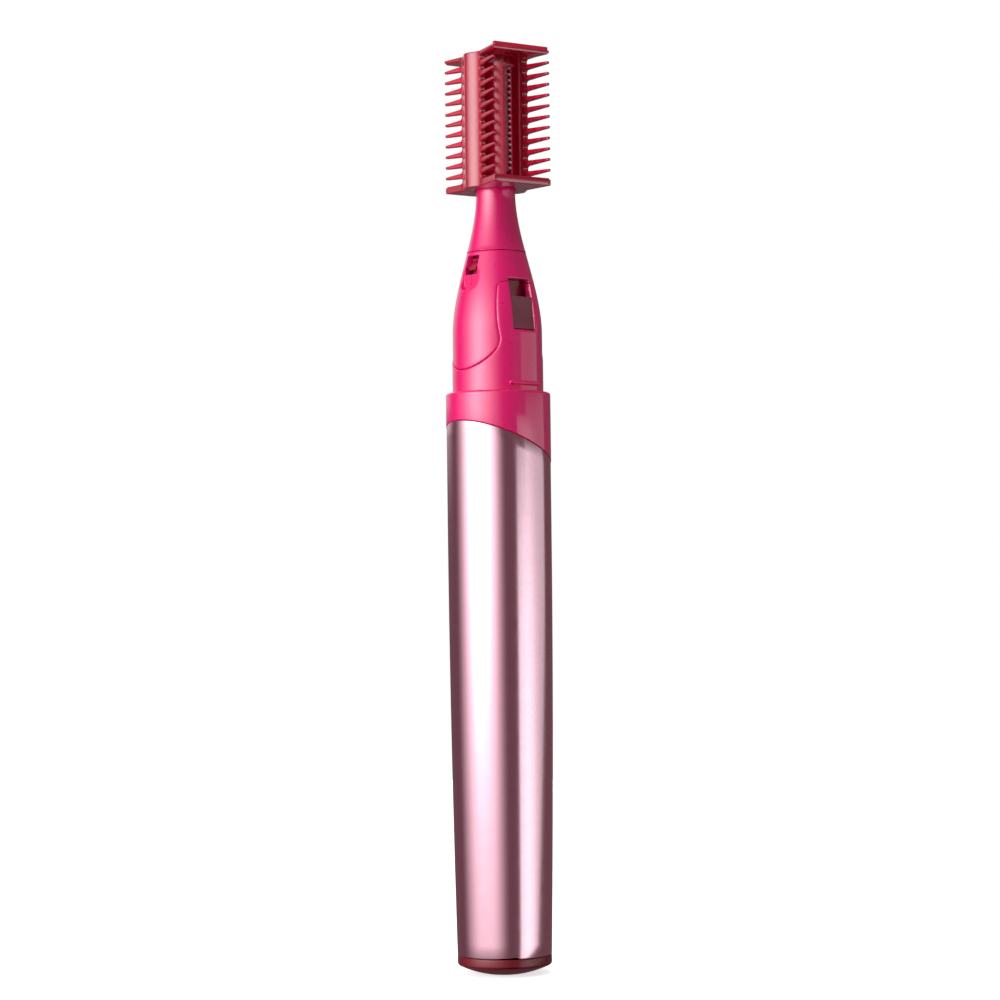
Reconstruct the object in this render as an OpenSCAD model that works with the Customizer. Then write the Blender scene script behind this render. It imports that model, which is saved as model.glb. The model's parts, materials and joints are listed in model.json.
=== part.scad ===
// Slim battery trimmer for fine hair, with a clip-on guide comb.
// It stands on its end cap: +Z runs up the body to the comb, -Y is the front with the latch window,
// and +X is the side with the slide switch and the comb's long teeth. Millimetres.

/* [Barrel] */
// Height of the parting line between the end cap and the barrel
barrel_z0 = 2.8; // [2.6:0.1:3.2]
// Outer radius at the barrel's lower end
barrel_low_r = 7.15; // [7.1:0.05:7.3]
// Outer radius at the barrel's widest place
barrel_r = 7.93; // [7.8:0.01:7.95]
// Height of that widest place
barrel_wide_z = 70; // [60:1:74]
// Wall thickness of the metal sleeve
sleeve_wall = 0.4; // [0.3:0.05:0.45]
// Radius of the small flat that the end cap stands on
cap_flat_r = 3; // [2:0.5:4]
// Radius of the end cap's dome
cap_dome_r = 16.3; // [14:0.1:20]

/* [Collar] */
// Outer radius of the collar
collar_r = 8; // [7.98:0.01:8.2]
// Height of the collar's upper edge
collar_z1 = 88; // [87:0.5:88]
// Height of the slanted parting line at the axis
seam_z = 80.2; // [79:0.1:81]
// Rise of the slanted parting line from the axis to the front of the collar
seam_rise = 3.5; // [2:0.1:4]

/* [Neck] */
// Radius of the neck below its taper
neck_r0 = 6.85; // [6.75:0.05:6.9]
// Radius of the neck at its upper end
neck_r1 = 3; // [2.95:0.05:3.1]
// Height where the taper starts
taper_z0 = 97; // [96.8:0.1:97.6]
// Height where the taper ends
taper_z1 = 119; // [118.5:0.1:119]
// Height of the ring-shaped parting line under the cone
cone_z0 = 109.6; // [109.4:0.1:109.8]
// How far the lower housing stands proud of the neck cover
base_proud = 0.1; // [0.05:0.05:0.12]
// Wall thickness of the neck's shells
neck_wall = 1; // [0.8:0.1:1]
// Lowest point of the cover's tongues
tongue_z0 = 91.4; // [91:0.1:92]
// Height where the tongues reach their full width
tongue_z1 = 95.8; // [95:0.1:96.5]
// Half width of a tongue at that height
tongue_w0 = 5.6; // [5.4:0.1:5.7]
// Half width of a tongue at the top of the housing's ears
tongue_w1 = 4.7; // [4.4:0.1:4.8]
// Height of the top of the housing's ears
ear_z1 = 104.7; // [104.5:0.1:104.8]

/* [Switch] */
// Width of the switch window
window_w = 4.2; // [4:0.1:4.4]
// Lower edge of the switch window
window_z0 = 97.2; // [97.1:0.1:97.4]
// Height of the switch knob
knob_h = 5.1; // [4.9:0.1:5.2]
// Travel of the switch knob
switch_travel = 2.5; // [2:0.1:2.5]

/* [Latch] */
// Width of the latch windows
latch_w = 2.8; // [2.4:0.1:3]
// Lower edge of the latch windows
latch_z0 = 106; // [105.8:0.1:106.2]
// Upper edge of the latch windows
latch_z1 = 108.9; // [108.8:0.1:109]
// Width of the pocket around each latch window
pocket_w = 4; // [3.6:0.1:4.2]
// Lower end of that pocket
pocket_z0 = 103.6; // [103.4:0.1:103.8]
// Distance of the pocket's floor from the axis
pocket_y = 4.95; // [4.9:0.05:5]

/* [Drive] */
// Diameter of the round battery cell
cell_d = 10.5; // [10.3:0.1:10.5]
// Length of the battery cell with its terminal
cell_len = 44.5; // [43:0.1:44.6]
// Outer diameter of the motor
motor_d = 10; // [9.6:0.1:10]
// Stroke of the moving blade to each side of its middle
stroke = 0.5; // [0.3:0.05:0.5]

/* [Comb] */
// Lower face of the comb
comb_z0 = 119.3; // [119.2:0.1:119.4]
// Upper face of the comb
comb_z1 = 140.6; // [140.4:0.1:141]
// Thickness of the comb's end plates
plate_t = 1.15; // [1:0.05:1.2]
// Reach of the long teeth from the axis
long_tip = 7.8; // [7.4:0.1:8]
// Reach of the short teeth from the axis
short_tip = 6.6; // [6.2:0.1:7]
// Number of gaps in each row of teeth
gaps = 12; // [10:1:13]
// Turn of the clipped-on comb about the axis
comb_turn = -7; // [-8:1:0]

/* [Hidden] */
$fn = 96;

pink = "#E0105F";
wine = "#8C2034";
steel = "#C9CCD0";
brass = "#C8A14A";
smoke = "#34323A";

part_gap = 0.06;                         // open parting line between two shells
fit = 0.05;                              // radial clearance of a shaft in its bearing
seam_slope = seam_rise / collar_r;
collar_in_r = 6.2;                       // bore of the collar
chassis_r = 6.15;                        // outside of the inner chassis
liner_r = 6.25;                          // bore of the sleeve's liner
cell_r = cell_d / 2;
bay_r = cell_r + 0.15;                   // bore of the battery bay
cell_z0 = 14;
cell_z1 = cell_z0 + cell_len;
nub_h = 0.8;
bulkhead_z0 = cell_z1 + 0.8;
motor_r = motor_d / 2;
bell_z0 = bulkhead_z0 + 2.4;
motor_z0 = bell_z0 + 1.6;
motor_z1 = motor_z0 + 17.4;
deck_z = 85.2;                           // top of the chassis, where the drive frame stands
base_in_r = neck_r0 - neck_wall;
drum_z0 = 86.9;
drum_z1 = 93.6;
drum_r = 3;
groove_z = 90.2;
rod_r = 0.9;
bridge_z = 94.6;
knob_z0 = window_z0 + 0.1;
window_z1 = knob_z0 + knob_h + switch_travel + 0.2;
comb_low = comb_z0 + plate_t;
comb_high = comb_z1 - plate_t;
cone_z1 = 121.3;                         // top of the head cone, where the blade holder stands
blade_z0 = 121.8;
blade_z1 = 138.2;
holder_z0 = cone_z1;
holder_z1 = 138.7;
screw_z = [124.6, 135.4];
pitch = (comb_high - comb_low) / (gaps - 0.5);

function smooth(t) = let(c = min(1, max(0, t))) c * c * (3 - 2 * c);
function neck_at(z) = neck_r0 - (neck_r0 - neck_r1) * smooth((z - taper_z0) / (taper_z1 - taper_z0));
function barrel_at(z) =
    let(below = max(0, (barrel_wide_z - z) / (barrel_wide_z - barrel_z0)))
    barrel_r - (barrel_r - barrel_low_r) * below * below;
function steps(a, b, n) = [for (i = [0:n]) a + (b - a) * i / n];

// Points up the neck's outline from z0 to z1, grown by extra, with one straight stretch below the taper.
function neck_line(z0, z1, extra) =
    let(start = max(z0, taper_z0), n = ceil((z1 - start) / 1.05))
    concat(z0 < taper_z0 ? [[neck_r0 + extra, z0]] : [],
           [for (z = steps(start, z1, n)) [neck_at(z) + extra, z]]);

// Everything below the slanted parting line, lowered by drop.
module below_seam(drop) {
    rotate([90, 0, 90])
        linear_extrude(30, center = true)
            polygon([for (y = [-15, 15]) [y, seam_z - seam_slope * y - drop], [15, -1], [-15, -1]]);
}

// A solid of the neck's outline from z0 to z1, grown by extra.
module neck_solid(z0, z1, extra) {
    rotate_extrude() polygon(concat([[0, z0]], neck_line(z0, z1, extra), [[0, z1]]));
}

// A shell of the neck, neck_wall thick inside the nominal outline.
module neck_shell(z0, z1, extra) {
    difference() {
        neck_solid(z0, z1, extra);
        neck_solid(z0 - 1, z1 + 1, -neck_wall);
    }
}

// A ring or disc between two heights.
module ring(r_out, r_in, z0, z1) {
    difference() {
        translate([0, 0, z0]) cylinder(r = r_out, h = z1 - z0);
        if (r_in > 0) translate([0, 0, z0 - 1]) cylinder(r = r_in, h = z1 - z0 + 2);
    }
}

// A box given by its two corners.
module box(lo, hi) {
    translate(lo) cube(hi - lo);
}

// Half of the line where the neck's two shells meet, seen from the front: the edge of a tongue from its
// lowest point up, then the rounded shoulder of an ear. The tongue is grown by g.
function tongue_edge(g) =
    let(round_r = 0.8, drop = tongue_z1 - tongue_z0 + g, top = ear_z1 - g)
    concat(
        [for (a = steps(0, 90, 10)) [(tongue_w0 + g) * sin(a), tongue_z1 - drop * cos(a)]],
        [for (a = steps(0, 90, 5)) [tongue_w1 + g + round_r * (1 - cos(a)), top - round_r * (1 - sin(a))]],
        [[14, top]]);

// All that lies between that line and the height end_z.
module beyond_edge(g, end_z) {
    half = concat(tongue_edge(g), [[14, end_z]]);
    rotate([90, 0, 0])
        linear_extrude(30, center = true)
            polygon(concat(half, [for (i = [len(half) - 1:-1:1]) [-half[i][0], half[i][1]]]));
}

module end_cap() {
    plug_r = 6.2;
    corner_r = 0.5;
    dome_z = sqrt(pow(cap_dome_r, 2) - pow(cap_flat_r, 2));
    edge_a = asin((barrel_low_r - corner_r) / cap_dome_r);
    edge_z = dome_z - cap_dome_r * cos(edge_a);
    color(wine)
        rotate_extrude()
            polygon(concat(
                [[0, 0]],
                [for (a = steps(asin(cap_flat_r / cap_dome_r), edge_a, 8))
                    [cap_dome_r * sin(a), dome_z - cap_dome_r * cos(a)]],
                [for (a = steps(20, 90, 5))
                    [barrel_low_r - corner_r * (1 - sin(a)), edge_z + corner_r * (1.1 - cos(a))]],
                [[barrel_low_r, barrel_z0 - part_gap], [plug_r, barrel_z0 - part_gap], [plug_r, 7.6],
                 [plug_r - 1, 7.6], [plug_r - 1, 2.4], [0, 2.4]]));
}

module barrel_sleeve() {
    n = 16;
    z1 = 88;
    color("#D98CA8")
        intersection() {
            rotate_extrude()
                polygon(concat(
                    [for (z = steps(barrel_z0, z1, n)) [barrel_at(z), z]],
                    [for (z = steps(z1, barrel_z0, n)) [barrel_at(z) - sleeve_wall, z]]));
            below_seam(part_gap);
        }
}

module sleeve_liner() {
    n = 16;
    z1 = 88;
    skin = 0.02;
    color(smoke)
        intersection() {
            rotate_extrude()
                polygon(concat(
                    [for (z = steps(barrel_z0, z1, n)) [barrel_at(z) - sleeve_wall - skin, z]],
                    [[liner_r, z1], [liner_r, barrel_z0]]));
            below_seam(part_gap);
        }
}

module collar_ring() {
    edge_r = 0.4;
    seat_z = 85.4;
    color(pink)
        difference() {
            rotate_extrude()
                polygon(concat(
                    [[collar_in_r, 70], [collar_r, 70]],
                    [for (a = steps(0, 90, 6))
                        [collar_r - edge_r * (1 - cos(a)), collar_z1 - edge_r * (1 - sin(a))]],
                    [[neck_r0 + base_proud + fit, collar_z1], [neck_r0 + base_proud + fit, seat_z],
                     [collar_in_r, seat_z]]));
            below_seam(0);
        }
}

module inner_chassis() {
    foot_z = 8.6;
    bay_z0 = 9.6;
    groove_w = 2.6;
    color(smoke)
        difference() {
            translate([0, 0, foot_z]) cylinder(r = chassis_r, h = deck_z - foot_z);
            ring(bay_r, 0, bay_z0, bulkhead_z0);                      // battery bay
            ring(motor_r + fit, 0, bell_z0, motor_z1);                // motor bay
            ring(1.8, 0, motor_z1 - 1, deck_z + 1);                   // way out for the motor's shaft
            box([0.3, -8, cell_z0 - 0.6], [8, 8, cell_z1 + 0.3]);     // side opening for the battery
            box([2.4, -0.8, bulkhead_z0 - 1], [4, 0.8, bell_z0 + 1]); // slot for the positive contact
            box([-4, -0.8, bell_z0 - 0.9], [-2.4, 0.8, bell_z0 + 1]); // slot for the motor's other terminal
            box([-8, -groove_w / 2, foot_z - 1], [0.3 - chassis_r, groove_w / 2, bell_z0 + 0.6]);
            for (z = [bay_z0 - 0.1, bell_z0])                         // ways in for the strip's ends
                box([-8, -groove_w / 2, z], [-3, groove_w / 2, z + 0.6]);
            rotate_extrude()                                          // groove of the seal ring
                translate([chassis_r - 0.35, 72.5]) square([1, 1.1], center = true);
            ring(9, collar_in_r - 0.4, deck_z - 0.8, deck_z + 1);     // shoulder of the deck
            for (y = [-4.4, 4.4]) box([-0.6, y - 0.4, motor_z1 - 1], [0.6, y + 0.4, deck_z + 1]);
        }
}

module seal_ring() {
    color("#202024")
        rotate_extrude() translate([chassis_r - 0.36, 72.5]) circle(r = 0.42, $fn = 24);
}

// Tapered coil: a round wire swept along a cone by a helix.
module negative_spring() {
    wire_r = 0.3;
    turns = 4.5;
    per_turn = 20;
    sides = 8;
    z0 = 10.25;
    rise = cell_z0 - wire_r - 0.02 - z0;
    n = floor(turns * per_turn);
    rings = [for (i = [0:n]) let(t = i / n, a = 360 * turns * t, r = 3.1 - 1.3 * t) [
        for (k = [0:sides - 1]) let(b = 360 * k / sides, out = r + wire_r * cos(b))
            [out * cos(a), out * sin(a), z0 + rise * t + wire_r * sin(b)]]];
    points = [for (r = rings) for (p = r) p];
    walls = [for (i = [0:n - 1]) for (k = [0:sides - 1]) let(k2 = (k + 1) % sides)
        [i * sides + k, i * sides + k2, (i + 1) * sides + k2, (i + 1) * sides + k]];
    ends = [[for (k = [sides - 1:-1:0]) k], [for (k = [0:sides - 1]) n * sides + k]];
    color(steel) polyhedron(points, concat(walls, ends), convexity = 8);
}

module contact_strip() {
    strip_x = -chassis_r + 0.04;
    foot_z = 9.62;
    color(brass) {
        translate([0, 0, foot_z]) cylinder(r = 3.6, h = 0.28);
        box([strip_x, -1.1, foot_z], [-3, 1.1, foot_z + 0.28]);
        box([strip_x, -1.1, foot_z], [strip_x + 0.22, 1.1, bell_z0 + 0.4]);
        box([strip_x, -1.1, bell_z0 + 0.12], [-3.56, 1.1, bell_z0 + 0.4]);
    }
}

module battery_cell() {
    crimp = 0.25;
    body_z1 = cell_z1 - nub_h;
    color("#B87333")
        rotate_extrude()
            polygon([[0, cell_z0], [3.8, cell_z0], [4, cell_z0 + crimp], [cell_r - crimp, cell_z0 + crimp],
                     [cell_r, cell_z0 + 2 * crimp], [cell_r, body_z1 - crimp], [cell_r - crimp, body_z1],
                     [1.95, body_z1], [1.95, cell_z1 - 0.15], [1.8, cell_z1], [0, cell_z1]]);
}

module positive_contact() {
    color(brass) {
        translate([0, 0, cell_z1 + 0.03]) cylinder(r = 2.6, h = 0.25);
        box([2, -0.6, cell_z1 + 0.03], [3.2, 0.6, cell_z1 + 0.28]);
        box([2.95, -0.6, cell_z1 + 0.03], [3.2, 0.6, bell_z0 - 0.9]);
    }
}

module motor_can() {
    can_wall = 0.4;
    color(steel)
        rotate_extrude()
            polygon([[motor_r, motor_z0], [motor_r, motor_z1 - 0.5], [motor_r - 0.5, motor_z1],
                     [1.5, motor_z1], [1.5, motor_z1 + 0.9], [0.5 + fit, motor_z1 + 0.9],
                     [0.5 + fit, motor_z1 - can_wall], [motor_r - 0.6, motor_z1 - can_wall],
                     [motor_r - can_wall, motor_z1 - 0.6], [motor_r - can_wall, motor_z0]]);
}

module motor_magnets() {
    color("#4A4648")
        for (a = [35, 215])
            rotate([0, 0, a]) rotate_extrude(angle = 110)
                translate([3.65, motor_z0 + 3]) square([motor_r - 0.4 - 0.02 - 3.65, 11.5]);
}

module motor_end_bell() {
    color("#E8E4DA")
        difference() {
            union() {
                ring(motor_r, 0, bell_z0 + 0.6, motor_z0 - 0.02);
                ring(motor_r - 0.42, 2.6, motor_z0 - 0.1, motor_z0 + 0.8);
                ring(1.6, 0, bell_z0, motor_z0);
            }
            ring(0.5 + fit, 0, bell_z0 - 1, motor_z0 + 2);
            for (x = [-3.4, 3.4]) box([x - 0.25, -0.9, bell_z0], [x + 0.25, 0.9, motor_z0 + 1]);
        }
}

module motor_terminals() {
    color(brass)
        for (x = [-3.4, 3.4]) {
            box([x - 0.12, -0.7, bell_z0 - 0.6], [x + 0.12, 0.7, motor_z0 + 1.6]);
            box([x < 0 ? x : 1.3, -0.7, motor_z0 + 1.3], [x < 0 ? -1.3 : x, 0.7, motor_z0 + 1.6]);
        }
}

module motor_shaft() {
    color(steel) translate([0, 0, bell_z0 + 0.3]) cylinder(r = 0.5, h = drum_z1 - 0.4 - bell_z0 - 0.3);
}

module motor_armature() {
    z0 = motor_z0 + 3.4;
    z1 = z0 + 10.6;
    color("#A85A2A")
        difference() {
            union() {
                for (a = [0, 120, 240]) rotate([0, 0, a]) {
                    box([0, -0.7, z0], [3, 0.7, z1]);
                    intersection() {
                        ring(3.35, 2.7, z0, z1);
                        box([0, -2.2, z0], [4, 2.2, z1]);
                    }
                    box([1, -1.5, z0 + 0.8], [2.65, 1.5, z1 - 0.8]);
                }
                ring(1.25, 0, z0 - 3.1, z0);
                ring(1.7, 0, z0, z1);
            }
            ring(0.5, 0, z0 - 5, z1 + 5);
        }
}

// Drum on the motor shaft. Its inclined groove moves the rod's follower up and down once a turn.
module cam_drum() {
    floor_r = 2.05;
    groove_h = 2 * (0.45 + 2 * stroke + 0.1);
    tilt = atan(stroke / drum_r);
    color("#F2F0EA")
        difference() {
            ring(drum_r, 0.5, drum_z0, drum_z1);
            translate([0, 0, groove_z]) rotate([tilt, 0, 0])
                difference() {
                    cylinder(r = 5, h = groove_h, center = true);
                    cylinder(r = floor_r, h = 2 * groove_h, center = true);
                }
        }
}

module drive_rod() {
    arm_y = 3.75;
    color("#F2F0EA")
        difference() {
            union() {
                translate([0, 0, bridge_z]) cylinder(r = rod_r, h = 120.7 - bridge_z);
                box([-1.1, -0.9, bridge_z], [1.1, arm_y + 0.65, bridge_z + 1.2]);
                box([-1.1, arm_y - 0.35, groove_z - 0.9], [1.1, arm_y + 0.65, bridge_z + 1.2]);
                translate([0, 2.4, groove_z])                         // follower
                    rotate([-90, 0, 0]) cylinder(r = 0.45, h = arm_y - 2.4, $fn = 32);
            }
            box([-1, -0.02, 119.6], [1, 0.27, 122]);           // slot for the moving blade
        }
}

module drive_frame() {
    arm_t = 0.6;
    top_z = 102.4;
    color(smoke) {
        difference() {
            union() {
                ring(base_in_r - 0.05, 3.5, deck_z, deck_z + 1);
                for (s = [-1, 1])
                    box([s > 0 ? 3.35 : -4, -1.5, deck_z + 0.5], [s > 0 ? 4 : -3.35, 1.5, top_z]);
                intersection() {
                    ring(3.6, 0, top_z - 1.6, top_z);
                    box([-5, -5, 90], [5, 3, 110]);
                }
                box([-4, -1.5, top_z - 1.6], [4, 1.5, top_z]);
                box([3.4, -2.2, 96.5], [3.9, 2.2, window_z1 + 0.2]);  // plate behind the switch window
            }
            ring(1.6, 0, top_z - 3, top_z + 1);
        }
        for (m = [0, 1]) mirror([0, m, 0]) {
            box([-0.8, -3.9, top_z - 1], [0.8, -3.9 + arm_t, 108.5]);
            box([-0.8, -3.5, top_z - 1.6], [0.8, -1.7, top_z]);
            rotate([90, 0, 90]) linear_extrude(1.6, center = true)    // wedge of the latch
                polygon([[-3.7, latch_z0 + 0.7], [-4.72, latch_z0 + 0.7], [-4.72, latch_z0 + 1.05],
                         [-3.7, 108.5]]);
        }
    }
}

module rod_guide() {
    color(brass) {
        ring(1.58, rod_r + fit, 100.2, 102.9);
        ring(2.1, rod_r + fit, 102.42, 102.9);
    }
}

module neck_base() {
    rib_half_w = 3;
    rib_r = 7.25;
    rib_z = 89.1;
    foot_r = neck_r0 + base_proud + 0.05;
    color(pink) {
        difference() {
            intersection() {
                neck_shell(deck_z + 0.25, ear_z1 + 0.3, base_proud);
                beyond_edge(part_gap, 80);
            }
            box([0, -window_w / 2, window_z0], [10, window_w / 2, window_z1]);
        }
        intersection() {                                              // ribs that hold a push-on cap
            rotate_extrude()
                polygon([[6.4, rib_z - 0.35], [foot_r, rib_z - 0.35], [rib_r, rib_z - 0.1],
                         [rib_r, rib_z + 0.1], [foot_r, rib_z + 0.35], [6.4, rib_z + 0.35]]);
            box([-9, -rib_half_w, rib_z - 2], [9, rib_half_w, rib_z + 2]);
        }
    }
}

module neck_cover() {
    top_z = cone_z0 - part_gap;
    boss_y = 4.15;
    boss_w = 2.6;
    round_r = 1.3;
    color(pink)
        intersection() {
            difference() {
                union() {
                    neck_shell(91, top_z, 0);
                    intersection() {                                  // thicker wall behind the pockets
                        neck_solid(91, top_z, 0);
                        for (s = [-1, 1])
                            box([-boss_w, s > 0 ? boss_y : -7, pocket_z0 - 0.6],
                                [boss_w, s > 0 ? 7 : -boss_y, top_z]);
                    }
                }
                rotate([90, 0, 0]) {
                    for (s = [0, 1]) mirror([0, 0, s])
                        translate([0, 0, pocket_y]) linear_extrude(4) {
                            for (x = [-1, 1])
                                translate([x * (pocket_w / 2 - round_r), pocket_z0 + round_r])
                                    circle(r = round_r, $fn = 48);
                            translate([round_r - pocket_w / 2, pocket_z0])
                                square([pocket_w - 2 * round_r, 8]);
                            translate([-pocket_w / 2, pocket_z0 + round_r]) square([pocket_w, 8]);
                        }
                    translate([-latch_w / 2, latch_z0, -10]) cube([latch_w, latch_z1 - latch_z0, 20]);
                }
                box([0, -window_w / 2, window_z0], [10, window_w / 2, window_z1]);
            }
            beyond_edge(0, 130);
        }
}

module head_cone() {
    n = 12;
    lip = 0.06;
    top_z = cone_z1;
    color(pink)
        difference() {
            rotate_extrude()
                polygon(concat(
                    [[2.85, 108.8], [3.5, 108.8], [3.5, cone_z0], [neck_at(cone_z0) + lip, cone_z0],
                     [neck_at(cone_z0) + lip, cone_z0 + 0.25]],
                    [for (z = steps(cone_z0 + 0.4, taper_z1, n)) [neck_at(z), z]],
                    [[neck_r1 - 0.05, top_z - 0.3], [neck_r1 - 0.35, top_z], [rod_r + fit, top_z],
                     [rod_r + fit, 117.4], [2.1, 116.6], [2.85, 112]]));
            box([-8, -0.4, top_z - 0.5], [8, 0.4, top_z + 1]);
        }
}

// Knob with its face sloped like the neck, and a foot that runs behind the window's lower edge.
module switch_knob() {
    half_w = window_w / 2 - 0.1;
    back_x = 4.5;
    z1 = knob_z0 + knob_h;
    foot_z0 = 95.6;
    color(wine) {
        rotate([90, 0, 0]) linear_extrude(2 * half_w, center = true)
            polygon([[back_x, knob_z0], [6.4, knob_z0], [6.5, knob_z0 + 0.1], [6.02, z1 - 0.1], [5.9, z1],
                     [back_x, z1]]);
        box([back_x, -2.5, foot_z0], [back_x + 0.4, 2.5, knob_z0 + 0.5]);
    }
}

module switch_wiper() {
    color(brass) {
        box([4.3, -1.2, 98.6], [4.5, 1.2, 99.4]);
        for (y = [-1.2, 0.5]) box([4.3, y, 98.6], [4.5, y + 0.7, 101.2]);
    }
}

module switch_contacts() {
    color(brass)
        for (y = [-1.15, 0.45]) box([4, y, deck_z + 1.1], [4.18, y + 0.7, y < 0 ? 101.4 : 102.4]);
}

module blade_holder() {
    color(pink)
        difference() {
            union() {
                intersection() {
                    box([-2.5, -1.95, holder_z0], [3.1, -0.36, holder_z1]);
                    translate([0.3, 0.6, holder_z0]) scale([1.2, 1]) cylinder(r = 2.75, h = 30);
                }
                box([-2, -1.2, holder_z1 - 0.5], [2.4, 1.9, holder_z1]);
            }
            for (z = screw_z) translate([0, 0, z])
                rotate([90, 0, 0]) cylinder(r = 0.4, h = 6, center = true, $fn = 32);
        }
}

module blade_clamp() {
    color(pink)
        difference() {
            intersection() {
                box([-2.5, 0.62, holder_z0], [3.1, 1.95, holder_z1 - 0.52]);
                translate([0.3, -0.6, holder_z0]) scale([1.2, 1]) cylinder(r = 2.75, h = 30);
            }
            for (z = screw_z) translate([0, 1.5, z]) rotate([-90, 0, 0]) {
                cylinder(r = 0.52, h = 6, center = true, $fn = 32);
                cylinder(r = 0.95, h = 5, $fn = 32);                  // sink for the screw's head
            }
        }
}

// A blade in the XZ plane with triangular teeth along both upright edges.
module blade_plate(x0, x1, z0, z1, tooth, depth) {
    n = floor((z1 - z0) / tooth);
    right = [for (i = [0:n - 1]) each [[x1 - depth, z0 + i * tooth], [x1, z0 + (i + 0.35) * tooth],
                                      [x1, z0 + (i + 0.65) * tooth]]];
    left = [for (i = [n - 1:-1:0]) each [[x0, z0 + (i + 0.65) * tooth], [x0, z0 + (i + 0.35) * tooth],
                                        [x0 + depth, z0 + i * tooth]]];
    polygon(concat(right, [[x1 - depth, z0 + n * tooth], [x0 + depth, z0 + n * tooth]], left));
}

module fixed_blade() {
    color(steel)
        rotate([90, 0, 0]) translate([0, 0, 0.05])
            linear_extrude(0.3) difference() {
                blade_plate(-3.3, 3.9, blade_z0, blade_z1, 0.9, 0.8);
                for (z = screw_z) translate([0, z]) circle(r = 0.52, $fn = 32);
            }
}

module moving_blade() {
    color("#DADDE1")
        rotate([90, 0, 0]) translate([0, 0, -0.25])
            linear_extrude(0.25) difference() {
                union() {
                    blade_plate(-3.05, 3.65, blade_z0 + 0.9, blade_z1 - 0.7, 0.9, 0.8);
                    translate([-0.8, 119.8]) square([1.6, 3.4]);
                }
                for (z = screw_z) translate([-0.65, z - 1.15]) square([1.3, 2.3]);
            }
}

module blade_spring() {
    color(steel) {
        box([-1.2, 0.46, 125.8], [1.2, 0.6, 134.2]);
        for (x = [-1.2, 0.9]) box([x, 0.32, 129.4], [x + 0.3, 0.5, 130.6]);
    }
}

module blade_screws() {
    color(steel)
        for (z = screw_z) translate([0, 0, z]) rotate([90, 0, 0]) difference() {
            union() {
                translate([0, 0, -1.5]) cylinder(r = 0.4, h = 3.2, $fn = 32);
                translate([0, 0, -1.9]) cylinder(r = 0.85, h = 0.4, $fn = 32);
            }
            translate([-1, -0.12, -2.2]) cube([2, 0.24, 0.5]);
        }
}

// Half breadth of the comb's outer face at x: a bulge over the blade, then flared rows of teeth.
function comb_y(x) =
    let(root = 2.7, a = abs(x))
    a < root ? 4.3 + 0.9 * pow(cos(90 * a / root), 2) : 4.3 + (a - root) * (x > 0 ? 0.16 : 0.18);

// The comb's outline from above, moved in by inset on its long sides.
module comb_outline(x0, x1, inset) {
    xs = concat([x0], steps(-2.7, 2.7, 10), [x1]);
    polygon(concat([for (x = xs) [x, comb_y(x) - inset(x)]],
                   [for (i = [len(xs) - 1:-1:0]) [xs[i], inset(xs[i]) - comb_y(xs[i])]]));
}

// A gap between two teeth, round at its root and wider at the tips.
module tooth_gap(root_x, tip_x) {
    s = sign(tip_x);
    root_r = 0.43;
    tip_half = 0.62;
    translate([root_x, 0]) circle(r = root_r, $fn = 24);
    polygon([[root_x, -root_r], [tip_x + s, -tip_half], [tip_x + s, tip_half], [root_x, root_r]]);
}

module guide_comb() {
    wall = function(x) abs(x) <= 2.7 ? 0.95 : 0.95 - 0.45 * (abs(x) - 2.7) / 5.1;
    rib_y = 2.1;
    gap_x = 3.2;
    lip_t = 0.7;
    lip_h = 0.5;
    color(wine)
        rotate([0, 0, comb_turn])
            difference() {
                translate([0, 0, comb_z0]) linear_extrude(comb_z1 - comb_z0)
                    comb_outline(-short_tip, long_tip, function(x) 0);
                difference() {
                    translate([0, 0, comb_low]) linear_extrude(comb_high - comb_low)
                        comb_outline(-short_tip - 1, long_tip + 1, wall);
                    for (y = [rib_y, -6])
                        box([-0.5, y, comb_low - 1], [0.5, y + 6 - rib_y, comb_high + 1]);
                }
                ring(neck_r1 + 0.3, 0, comb_z0 - 1, cone_z1 + 0.4);
                box([-3.9, -1.1, comb_z0 - 1], [4.5, 1.1, comb_low + 0.5]);
                box([-9, -7, comb_z1 - lip_h], [long_tip - lip_t, 7, comb_z1 + 1]);    // leaves an end lip
                for (i = [0:gaps - 1]) translate([0, 0, comb_low + (i + 0.25) * pitch]) {
                    rotate([90, 0, 0]) linear_extrude(20, center = true) {
                        tooth_gap(gap_x, long_tip);
                        tooth_gap(-gap_x, -short_tip);
                    }
                }
            }
}

end_cap();
barrel_sleeve();
sleeve_liner();
collar_ring();
inner_chassis();
seal_ring();
negative_spring();
contact_strip();
battery_cell();
positive_contact();
motor_can();
motor_magnets();
motor_end_bell();
motor_terminals();
motor_shaft();
motor_armature();
cam_drum();
drive_rod();
drive_frame();
rod_guide();
neck_base();
neck_cover();
head_cone();
switch_knob();
switch_wiper();
switch_contacts();
blade_holder();
blade_clamp();
fixed_blade();
moving_blade();
blade_spring();
blade_screws();
guide_comb();
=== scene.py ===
"""Looks of a slim battery trimmer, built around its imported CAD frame.

Lengths are in millimetres, in the CAD's frame, until make() turns them into metres. Angles are in
radians. -Y is the front of the trimmer, and +X is the side with the switch.
"""

import json
import math

import bmesh
import bpy
import numpy as np
from mathutils import Matrix, Vector
from mathutils.geometry import delaunay_2d_cdt


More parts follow.
